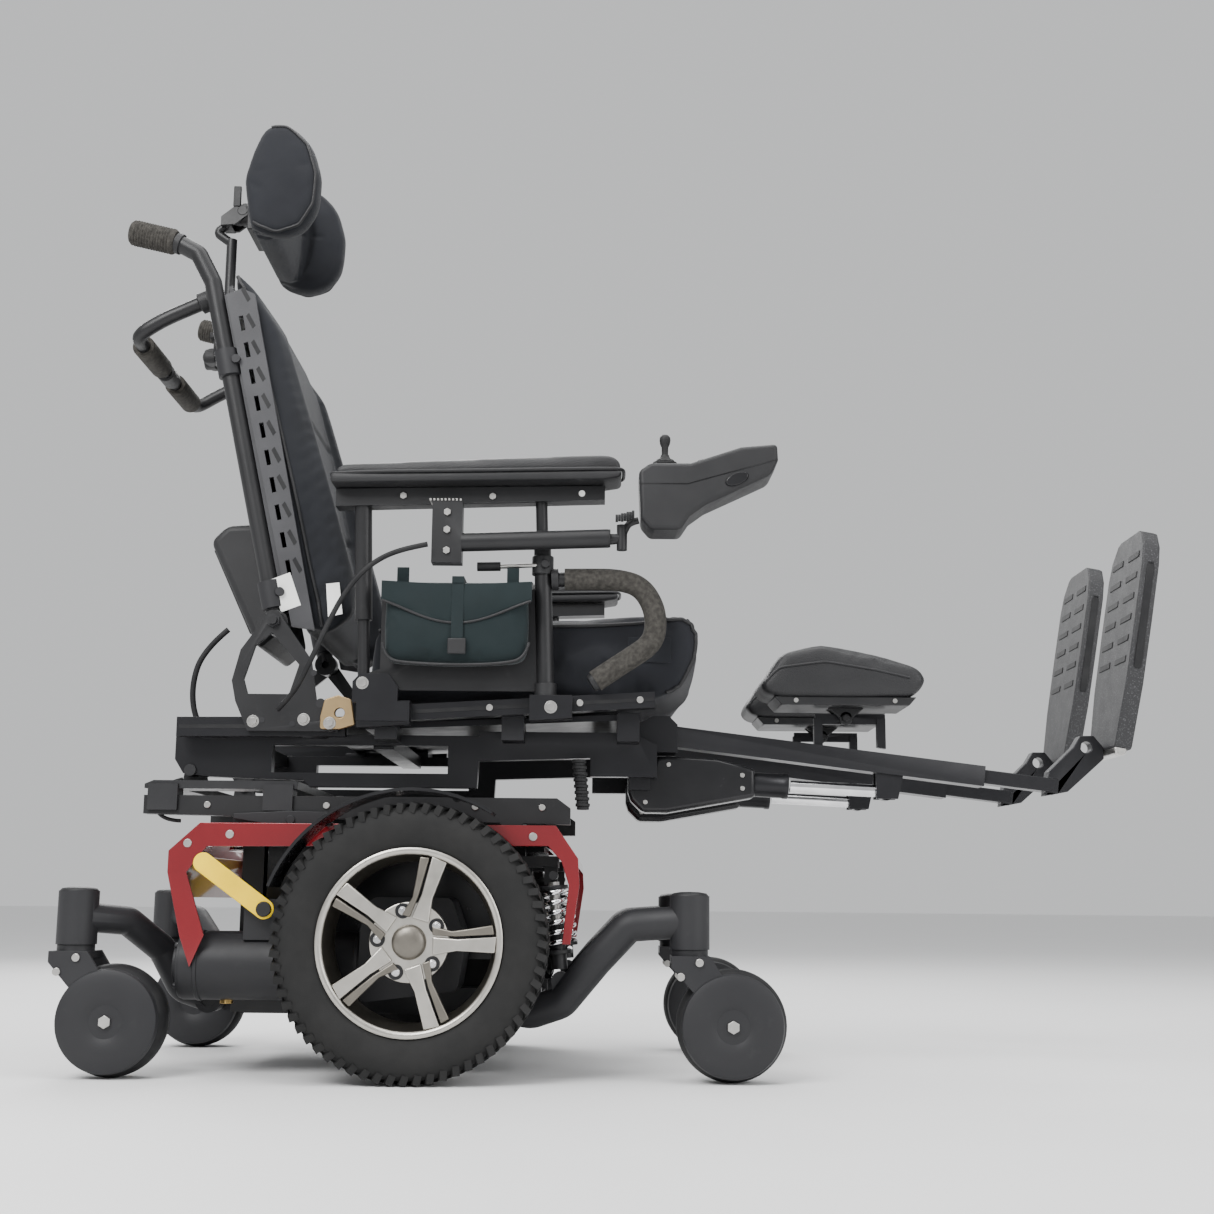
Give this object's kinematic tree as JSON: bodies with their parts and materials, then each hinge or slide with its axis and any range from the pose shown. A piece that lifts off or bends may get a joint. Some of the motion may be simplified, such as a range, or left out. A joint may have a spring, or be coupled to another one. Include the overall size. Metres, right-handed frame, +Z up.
{
  "type": "power wheelchair",
  "caption": "Mid-wheel-drive power wheelchair with tilt, recline, power leg rests, headrest, joystick, caster suspension and attendant push bar.",
  "frame": {"origin": "on the floor under the middle of the whole chair's box", "axes": "+X forward, +Y to the user's left, +Z up"},
  "size_m": [1.4868, 0.65, 1.378],
  "materials": {
    "actuator_grey": "blue grey plastic",
    "bag_fabric": "dark teal black woven polyester",
    "battery_case": "moulded dark grey plastic",
    "cable_black": "black cable sheath",
    "caster_rubber": "solid black caster tyre",
    "cover_black": "black gloss plastic",
    "foot_grey": "speckled dark grey composite",
    "frame_black": "satin black powder coat",
    "grip_foam": "dark foam",
    "hook_bronze": "bronze coated steel",
    "joystick_plastic": "textured black plastic",
    "lever_yellow": "yellow plastic",
    "motor_black": "black painted casting",
    "pad_vinyl": "black vinyl",
    "quadrant_black": "satin black steel",
    "rail_black": "black anodised rail",
    "rim_silver": "pewter painted alloy",
    "seat_fabric": "dark charcoal nylon",
    "shell_grey": "dark grey plastic",
    "shroud_red": "deep red metallic lacquer",
    "spring_chrome": "bright chrome",
    "tyre_black": "black rubber"
  },
  "bodies": {
    "root": {"chassis_frame": "frame_black", "battery_pack": "battery_case", "red_shroud": "shroud_red", "base_cover": "cover_black", "drive_motors": "motor_black", "shock_absorbers": "spring_chrome"},
    "drive_wheel_right": {"tyre_right": "tyre_black", "rim_right": "rim_silver"},
    "front_arm_body_right": {"front_arm_right": "frame_black"},
    "front_fork_right": {"fork_front_right": "frame_black"},
    "front_caster_right": {"caster_front_right": "caster_rubber"},
    "rear_arm_body_right": {"rear_arm_right": "frame_black"},
    "rear_fork_right": {"fork_rear_right": "frame_black"},
    "rear_caster_right": {"caster_rear_right": "caster_rubber"},
    "freewheel_right": {"freewheel_lever_right": "lever_yellow"},
    "drive_wheel_left": {"tyre_left": "tyre_black", "rim_left": "rim_silver"},
    "front_arm_body_left": {"front_arm_left": "frame_black"},
    "front_fork_left": {"fork_front_left": "frame_black"},
    "front_caster_left": {"caster_front_left": "caster_rubber"},
    "rear_arm_body_left": {"rear_arm_left": "frame_black"},
    "rear_fork_left": {"fork_rear_left": "frame_black"},
    "rear_caster_left": {"caster_rear_left": "caster_rubber"},
    "freewheel_left": {"freewheel_lever_left": "lever_yellow"},
    "carriage": {"tilt_carriage": "rail_black"},
    "seat": {"seat_frame": "rail_black", "seat_cushion": "seat_fabric", "tie_down_hooks": "hook_bronze", "recline_quadrants": "quadrant_black", "joystick_cable": "cable_black"},
    "back": {"back_canes": "frame_black", "push_grips": "grip_foam", "back_shell": "shell_grey", "back_cushion": "seat_fabric", "rear_box": "shell_grey", "stroller_bar": "frame_black"},
    "headrest_post": {"headrest_stem": "frame_black"},
    "headrest": {"headrest_pad": "seat_fabric"},
    "armrest_right": {"arm_frame_right": "frame_black", "transfer_handle": "grip_foam", "side_bag": "bag_fabric"},
    "armrest_top_right": {"arm_top_right": "frame_black", "arm_pad_right": "pad_vinyl", "joystick_arm": "frame_black"},
    "armrest_left": {"arm_frame_left": "frame_black"},
    "armrest_top_left": {"arm_top_left": "frame_black", "arm_pad_left": "pad_vinyl"},
    "joystick": {"joystick_box": "joystick_plastic"},
    "joystick_ring": {"joystick_gimbal": "joystick_plastic"},
    "joystick_lever": {"joystick_stick": "joystick_plastic"},
    "leg_right": {"leg_beam_right": "rail_black"},
    "leg_extension_right": {"leg_slide_right": "rail_black"},
    "foot_right": {"footplate_right": "foot_grey"},
    "calf_right": {"calf_pad_right": "pad_vinyl"},
    "actuator_right": {"leg_actuator_right": "actuator_grey"},
    "leg_left": {"leg_beam_left": "rail_black"},
    "leg_extension_left": {"leg_slide_left": "rail_black"},
    "foot_left": {"footplate_left": "foot_grey"},
    "calf_left": {"calf_pad_left": "pad_vinyl"},
    "actuator_left": {"leg_actuator_left": "actuator_grey"}
  },
  "joints": [
    {"name": "drive_wheel_right_spin", "type": "hinge", "parent": "root", "child": "drive_wheel_right", "pos_m": [-0.271, -0.287, 0.176], "axis": [0, 1, 0], "continuous": true},
    {"name": "front_suspension_right", "type": "hinge", "parent": "root", "child": "front_arm_body_right", "pos_m": [-0.165, -0.19, 0.092], "axis": [0, 1, 0], "range_deg": [-3, 5], "stiffness_Nm_per_rad": 6000, "deforming": ["shock_absorbers"]},
    {"name": "front_caster_right_swivel", "type": "hinge", "parent": "front_arm_body_right", "child": "front_fork_right", "pos_m": [0.087, -0.235, 0.2], "axis": [0, 0, 1], "continuous": true},
    {"name": "front_caster_right_spin", "type": "hinge", "parent": "front_fork_right", "child": "front_caster_right", "pos_m": [0.141, -0.235, 0.072], "axis": [0, 1, 0], "continuous": true},
    {"name": "rear_suspension_right", "type": "hinge", "parent": "root", "child": "rear_arm_body_right", "pos_m": [-0.56, -0.128, 0.095], "axis": [0, 1, 0], "range_deg": [-5, 3], "stiffness_Nm_per_rad": 6000},
    {"name": "rear_caster_right_swivel", "type": "hinge", "parent": "rear_arm_body_right", "child": "rear_fork_right", "pos_m": [-0.715, -0.235, 0.2], "axis": [0, 0, 1], "continuous": true},
    {"name": "rear_caster_right_spin", "type": "hinge", "parent": "rear_fork_right", "child": "rear_caster_right", "pos_m": [-0.661, -0.235, 0.072], "axis": [0, 1, 0], "continuous": true},
    {"name": "freewheel_lever_right_turn", "type": "hinge", "parent": "root", "child": "freewheel_right", "pos_m": [-0.47, -0.2435, 0.215], "axis": [0, 1, 0], "range_deg": [0, 55]},
    {"name": "drive_wheel_left_spin", "type": "hinge", "parent": "root", "child": "drive_wheel_left", "pos_m": [-0.271, 0.287, 0.176], "axis": [0, 1, 0], "continuous": true},
    {"name": "front_suspension_left", "type": "hinge", "parent": "root", "child": "front_arm_body_left", "pos_m": [-0.165, 0.19, 0.092], "axis": [0, 1, 0], "range_deg": [-3, 5], "stiffness_Nm_per_rad": 6000, "deforming": ["shock_absorbers"]},
    {"name": "front_caster_left_swivel", "type": "hinge", "parent": "front_arm_body_left", "child": "front_fork_left", "pos_m": [0.087, 0.235, 0.2], "axis": [0, 0, 1], "continuous": true},
    {"name": "front_caster_left_spin", "type": "hinge", "parent": "front_fork_left", "child": "front_caster_left", "pos_m": [0.141, 0.235, 0.072], "axis": [0, 1, 0], "continuous": true},
    {"name": "rear_suspension_left", "type": "hinge", "parent": "root", "child": "rear_arm_body_left", "pos_m": [-0.56, 0.128, 0.095], "axis": [0, 1, 0], "range_deg": [-5, 3], "stiffness_Nm_per_rad": 6000},
    {"name": "rear_caster_left_swivel", "type": "hinge", "parent": "rear_arm_body_left", "child": "rear_fork_left", "pos_m": [-0.715, 0.235, 0.2], "axis": [0, 0, 1], "continuous": true},
    {"name": "rear_caster_left_spin", "type": "hinge", "parent": "rear_fork_left", "child": "rear_caster_left", "pos_m": [-0.661, 0.235, 0.072], "axis": [0, 1, 0], "continuous": true},
    {"name": "freewheel_lever_left_turn", "type": "hinge", "parent": "root", "child": "freewheel_left", "pos_m": [-0.47, 0.2435, 0.215], "axis": [0, 1, 0], "range_deg": [0, 55]},
    {"name": "carriage_slide", "type": "slide", "parent": "root", "child": "carriage", "axis": [1, 0, 0], "range_m": [0, 0.2]},
    {"name": "seat_tilt", "type": "hinge", "parent": "carriage", "child": "seat", "pos_m": [-0.59, 0, 0.4], "axis": [0, -1, 0], "range_deg": [0, 45]},
    {"name": "back_recline", "type": "hinge", "parent": "seat", "child": "back", "pos_m": [-0.477, 0, 0.6], "axis": [0, -1, 0], "range_deg": [-10, 40]},
    {"name": "headrest_height", "type": "slide", "parent": "back", "child": "headrest_post", "axis": [0, 0, 1], "range_m": [0, 0.06]},
    {"name": "headrest_angle", "type": "hinge", "parent": "headrest_post", "child": "headrest", "pos_m": [-0.597, 0, 1.282], "axis": [0, 1, 0], "range_deg": [-20, 20]},
    {"name": "armrest_right_flip", "type": "hinge", "parent": "seat", "child": "armrest_right", "pos_m": [-0.347, -0.262, 0.51], "axis": [0, -1, 0], "range_deg": [0, 85]},
    {"name": "armrest_right_height", "type": "slide", "parent": "armrest_right", "child": "armrest_top_right", "axis": [-0.035, 0, 0.9994], "range_m": [-0.02, 0.04]},
    {"name": "armrest_left_flip", "type": "hinge", "parent": "seat", "child": "armrest_left", "pos_m": [-0.347, 0.262, 0.51], "axis": [0, -1, 0], "range_deg": [0, 85]},
    {"name": "armrest_left_height", "type": "slide", "parent": "armrest_left", "child": "armrest_top_left", "axis": [-0.035, 0, 0.9994], "range_m": [0, 0.09]},
    {"name": "joystick_swing", "type": "hinge", "parent": "armrest_top_right", "child": "joystick", "pos_m": [-0.006, -0.293, 0.704], "axis": [0, 0, -1], "range_deg": [0, 90]},
    {"name": "joystick_side", "type": "hinge", "parent": "joystick", "child": "joystick_ring", "pos_m": [0.051, -0.29, 0.795], "axis": [1, 0, 0], "range_deg": [-15, 15], "stiffness_Nm_per_rad": 0.5},
    {"name": "joystick_forward", "type": "hinge", "parent": "joystick_ring", "child": "joystick_lever", "pos_m": [0.051, -0.29, 0.795], "axis": [0, 1, 0], "range_deg": [-15, 15], "stiffness_Nm_per_rad": 0.5},
    {"name": "leg_elevate_right", "type": "hinge", "parent": "seat", "child": "leg_right", "pos_m": [0.05, -0.13, 0.458], "axis": [0, 1, 0], "range_deg": [0, 50]},
    {"name": "leg_length_right", "type": "slide", "parent": "leg_right", "child": "leg_extension_right", "axis": [-0.9929, 0, 0.1191], "range_m": [0, 0.08]},
    {"name": "footplate_right_flip", "type": "hinge", "parent": "leg_extension_right", "child": "foot_right", "pos_m": [0.644, -0.13, 0.446], "axis": [0, -1, 0], "range_deg": [0, 35]},
    {"name": "calf_pad_right_tilt", "type": "hinge", "parent": "leg_right", "child": "calf_right", "pos_m": [0.31, -0.13, 0.484], "axis": [0, 1, 0], "range_deg": [-6, 6]},
    {"name": "leg_actuator_right_turn", "type": "hinge", "parent": "seat", "child": "actuator_right", "pos_m": [0.022, -0.13, 0.398], "axis": [0, 1, 0], "range_deg": [0, 50]},
    {"name": "leg_elevate_left", "type": "hinge", "parent": "seat", "child": "leg_left", "pos_m": [0.05, 0.13, 0.458], "axis": [0, 1, 0], "range_deg": [0, 50]},
    {"name": "leg_length_left", "type": "slide", "parent": "leg_left", "child": "leg_extension_left", "axis": [-0.9929, 0, 0.1191], "range_m": [0, 0.08]},
    {"name": "footplate_left_flip", "type": "hinge", "parent": "leg_extension_left", "child": "foot_left", "pos_m": [0.644, 0.13, 0.446], "axis": [0, -1, 0], "range_deg": [0, 35]},
    {"name": "calf_pad_left_tilt", "type": "hinge", "parent": "leg_left", "child": "calf_left", "pos_m": [0.31, 0.13, 0.484], "axis": [0, 1, 0], "range_deg": [-6, 6]},
    {"name": "leg_actuator_left_turn", "type": "hinge", "parent": "seat", "child": "actuator_left", "pos_m": [0.022, 0.13, 0.398], "axis": [0, 1, 0], "range_deg": [0, 50]}
  ],
  "couplings": [
    {"joint": "carriage_slide", "follows": "seat_tilt", "m_per_rad": 0.25},
    {"joint": "leg_length_right", "follows": "leg_elevate_right", "m_per_rad": 0.09},
    {"joint": "leg_actuator_right_turn", "follows": "leg_elevate_right", "ratio": 0.99},
    {"joint": "leg_length_left", "follows": "leg_elevate_left", "m_per_rad": 0.09},
    {"joint": "leg_actuator_left_turn", "follows": "leg_elevate_left", "ratio": 0.99}
  ]
}
